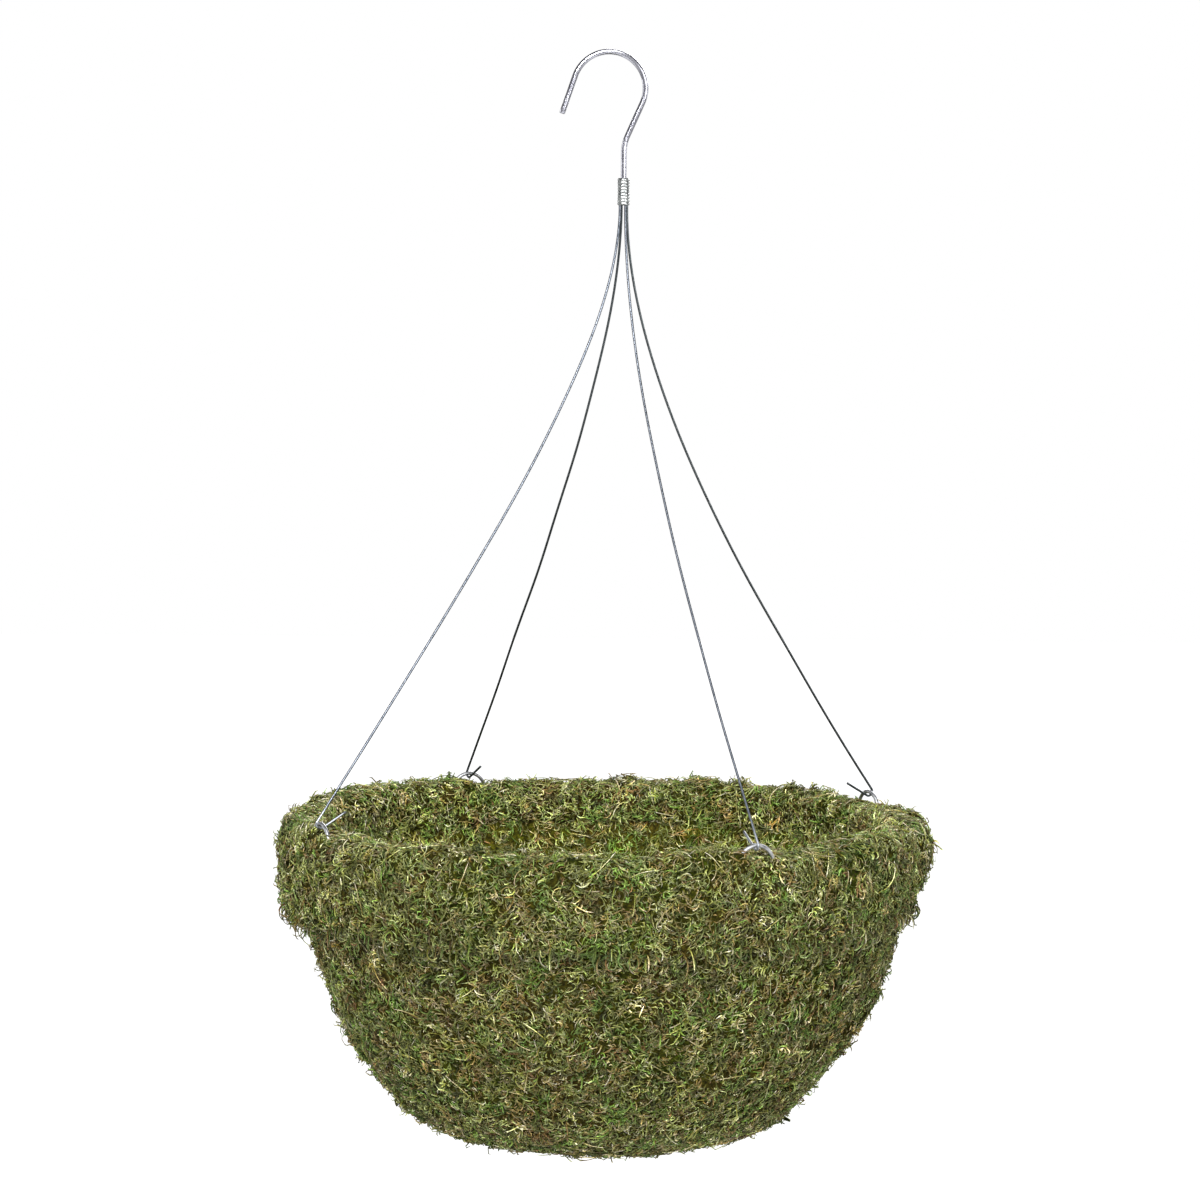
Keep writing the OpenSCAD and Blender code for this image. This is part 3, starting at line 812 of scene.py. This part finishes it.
def make_moss(density):
    wall = Skin(bowl_outline(40 * MM, BED_FROM_FACE), 170)
    cuff = Skin(cuff_outline(BED_FROM_FACE)[::-1], 90)
    lining = Skin(bowl_outline(16 * MM, INNER_FACE_IN - LINING_FROM_FACE)[::-1], 150)
    for skin, heights, thickness, round_steps, name, bed, slot, node in (
        (wall, WALL_LUMPS, 2.2 * MM, 520, "moss_bed_outer", BED_OUT_PAINTED_SHADE, "moss_outside", "moss_outer"),
        (cuff, CUFF_LUMPS, 1.5 * MM, 560, "moss_bed_rim", BED_OUT_PAINTED_SHADE, "moss_rim", "moss_cuff"),
        (lining, LINING_LUMPS, 3.0 * MM, 420, "moss_bed_inner", BED_IN_PAINTED_SHADE_AND_LIGHT, "moss_inside", "moss_inner"),
    ):
        finish_piece(lumpy(skin, heights, round_steps, thickness, name), "basket", bed, [node])
    # Painted light: the look's last entry brightens strands that face into the bowl.
    look = dict(length=5.4 * MM, lift=1.9 * MM, curl=2.1, thick=(0.55 * MM, 1.05 * MM), loose=0.05,
                brightness=0.87, segments=3, comb=0.0, painted_inner_light=0.52)
    coat("moss_wall", wall, WALL_LUMPS, int(74000 * density), 6, 0.0, 0.6,
         dict(look, shares=WALL_SHARES), 1)
    coat("moss_base", wall, WALL_LUMPS, int(24000 * density), 2, 0.56, 1.0,
         dict(look, shares=WALL_SHARES, lift=1.4 * MM, loose=0.04), 2)
    coat("moss_roll", cuff, CUFF_LUMPS, int(60000 * density), 5, 0.0, 1.0,
         dict(look, shares=RIM_SHARES, loose=0.09), 3)
    # The lining's strands are a brighter copy, painted light for the inside of the bowl.
    inside = dict(look, shares=INSIDE_SHARES, brightness=1.36, comb=0.75, painted_inner_light=0.2,
                  thick=(0.45 * MM, 0.85 * MM))
    coat("moss_lining", lining, LINING_LUMPS, int(44000 * density), 4, 0.0, 0.8, inside, 4)
    coat("moss_lining_top", lining, LINING_LUMPS, int(25000 * density), 2, 0.76, 1.0,
         dict(inside, lift=2.4 * MM), 5)
    thin, straw, loose_curl = (0.3 * MM, 0.5 * MM), (0.4 * MM, 0.75 * MM), (0.4 * MM, 0.7 * MM)
    for label, skin, heights, counts, slot, seed in (
        ("wall", wall, WALL_LUMPS, (1300, 420, 60), "moss_outside", 51),
        ("roll", cuff, CUFF_LUMPS, (900, 260, 30), "moss_rim", 61),
        ("lining", lining, LINING_LUMPS, (380, 130, 40), "moss_inside", 71),
    ):
        curls, straws, twigs = (int(c * density) for c in counts)
        long_strands(f"moss_curls_{label}", skin, heights, curls, 0.0, 0.9, (9 * MM, 20 * MM), 3.0, 3.5 * MM,
                     loose_curl, RIM_SHARES, seed)
        long_strands(f"moss_straws_{label}", skin, heights, straws, 0.05, 0.85, (9 * MM, 26 * MM), 0.6,
                     3.6 * MM, straw, STRAW_SHARES, seed + 1)
        long_strands(f"moss_twigs_{label}", skin, heights, twigs, 0.1, 0.8, (8 * MM, 18 * MM), 0.3, 3.2 * MM,
                     thin, TWIG_SHARES, seed + 2)
    long_strands("moss_crest", cuff, CUFF_LUMPS, int(700 * density), 0.2, 0.46, (8 * MM, 22 * MM), 1.2,
                 3.4 * MM, loose_curl, CREST_SHARES, 91, spread=0.4)
    hem_loops("moss_hem_loops", cuff, CUFF_LUMPS, int(1100 * density), 81)


# ---------------------------------------------------------------- studio
FLOOR_DROP = 2.4             # far enough for a view from below


def make_floor():
    """A white floor far below, bright enough to meet the white background without a line."""
    bpy.ops.mesh.primitive_plane_add(size=60, location=(0, 0, BASE_Z - FLOOR_DROP))
    floor = bpy.context.object
    floor.name = "studio_floor"
    n = Nodes("studio_white")
    n.set(Base_Color=(0.85, 0.85, 0.85, 1), Roughness=0.9, Specular_IOR_Level=0.1)
    seen = n.add("ShaderNodeLightPath").outputs["Is Camera Ray"]
    n.set(Emission_Color=(1, 1, 1, 1), Emission_Strength=n.scaled(seen, 0.25, 1.0))
    floor.data.materials.append(n.material)


def area_light(name, place, target, size, power):
    light = bpy.data.lights.new(name, "AREA")
    light.shape = "RECTANGLE"
    light.size, light.size_y = size
    light.energy = power
    lamp = bpy.data.objects.new(name, light)
    lamp.location = place
    lamp.rotation_euler = (target - lamp.location).to_track_quat("-Z", "Y").to_euler()
    bpy.context.scene.collection.objects.link(lamp)


def make_studio():
    make_floor()
    middle = (rim_low + rim_high) / 2
    area_light("key", (-1.2, -4.8, 1.9), middle, (1.2, 1.4), 400)
    area_light("fill", (3.0, -4.2, 0.45), middle, (1.4, 2.4), 155)
    area_light("back", (0.9, 3.0, 0.9), middle, (2.0, 1.4), 100)
    area_light("left", (-3.0, 0.9, 0.1), middle, (1.2, 1.6), 24)
    area_light("right", (3.0, 0.9, 0.1), middle, (1.2, 1.6), 24)
    area_light("top", (0.0, -1.1, 1.5), middle, (1.0, 0.8), 22)
    make_world()


def make_world():
    """White behind the object, and a grey room with darker sides in its reflections."""
    world = bpy.data.worlds.new("studio")
    bpy.context.scene.world = world
    world.use_nodes = True
    tree = world.node_tree
    room = tree.nodes["Background"]
    room.inputs["Strength"].default_value = 1.0
    where = tree.nodes.new("ShaderNodeTexCoord")
    split = tree.nodes.new("ShaderNodeSeparateXYZ")
    tree.links.new(where.outputs["Generated"], split.inputs[0])
    front = tree.nodes.new("ShaderNodeMapRange")
    front.inputs["From Min"].default_value = 0.3
    front.inputs["From Max"].default_value = -1.0
    tree.links.new(split.outputs["Y"], front.inputs["Value"])
    ramp = tree.nodes.new("ShaderNodeValToRGB")
    ramp.color_ramp.elements[0].position = 0.0
    ramp.color_ramp.elements[0].color = (0.06, 0.06, 0.065, 1)
    ramp.color_ramp.elements[1].position = 1.0
    ramp.color_ramp.elements[1].color = (0.5, 0.5, 0.51, 1)
    tree.links.new(front.outputs["Result"], ramp.inputs["Fac"])
    tree.links.new(ramp.outputs["Color"], room.inputs["Color"])
    white = tree.nodes.new("ShaderNodeBackground")
    white.inputs["Color"].default_value = (1, 1, 1, 1)
    rays = tree.nodes.new("ShaderNodeLightPath")
    choose = tree.nodes.new("ShaderNodeMixShader")
    tree.links.new(rays.outputs["Is Camera Ray"], choose.inputs["Fac"])
    tree.links.new(room.outputs["Background"], choose.inputs[1])
    tree.links.new(white.outputs["Background"], choose.inputs[2])
    tree.links.new(choose.outputs["Shader"], tree.nodes["World Output"].inputs["Surface"])
    bpy.context.scene.view_settings.view_transform = "Standard"


def make_camera():
    distance, view_width = 2.5, 686 * MM
    eye_height = 0.325
    camera = bpy.data.cameras.new("camera")
    camera.sensor_width = 36
    camera.lens = 36 * distance / view_width
    camera.clip_end = 50
    seat = bpy.data.objects.new("camera", camera)
    aim_x, aim_z = -3.0 * MM, -310.8 * MM
    roll = math.radians(0.45)
    eye = np.array((aim_x, -distance, RIM_Z + eye_height))
    seat.location = eye
    pitch = math.atan2(aim_z - eye[2], distance)
    turned = Matrix.Rotation(math.pi / 2 + pitch, 3, "X") @ Matrix.Rotation(roll, 3, "Z")
    seat.rotation_euler = turned.to_euler()
    bpy.context.scene.collection.objects.link(seat)
    bpy.context.scene.camera = seat


make_camera()
make_studio()
dress_frame()
make_hook()
make_ferrule()
for wire in range(1, 5):
    make_hanger(wire)
    make_eyelet(wire)
make_moss(1.0)
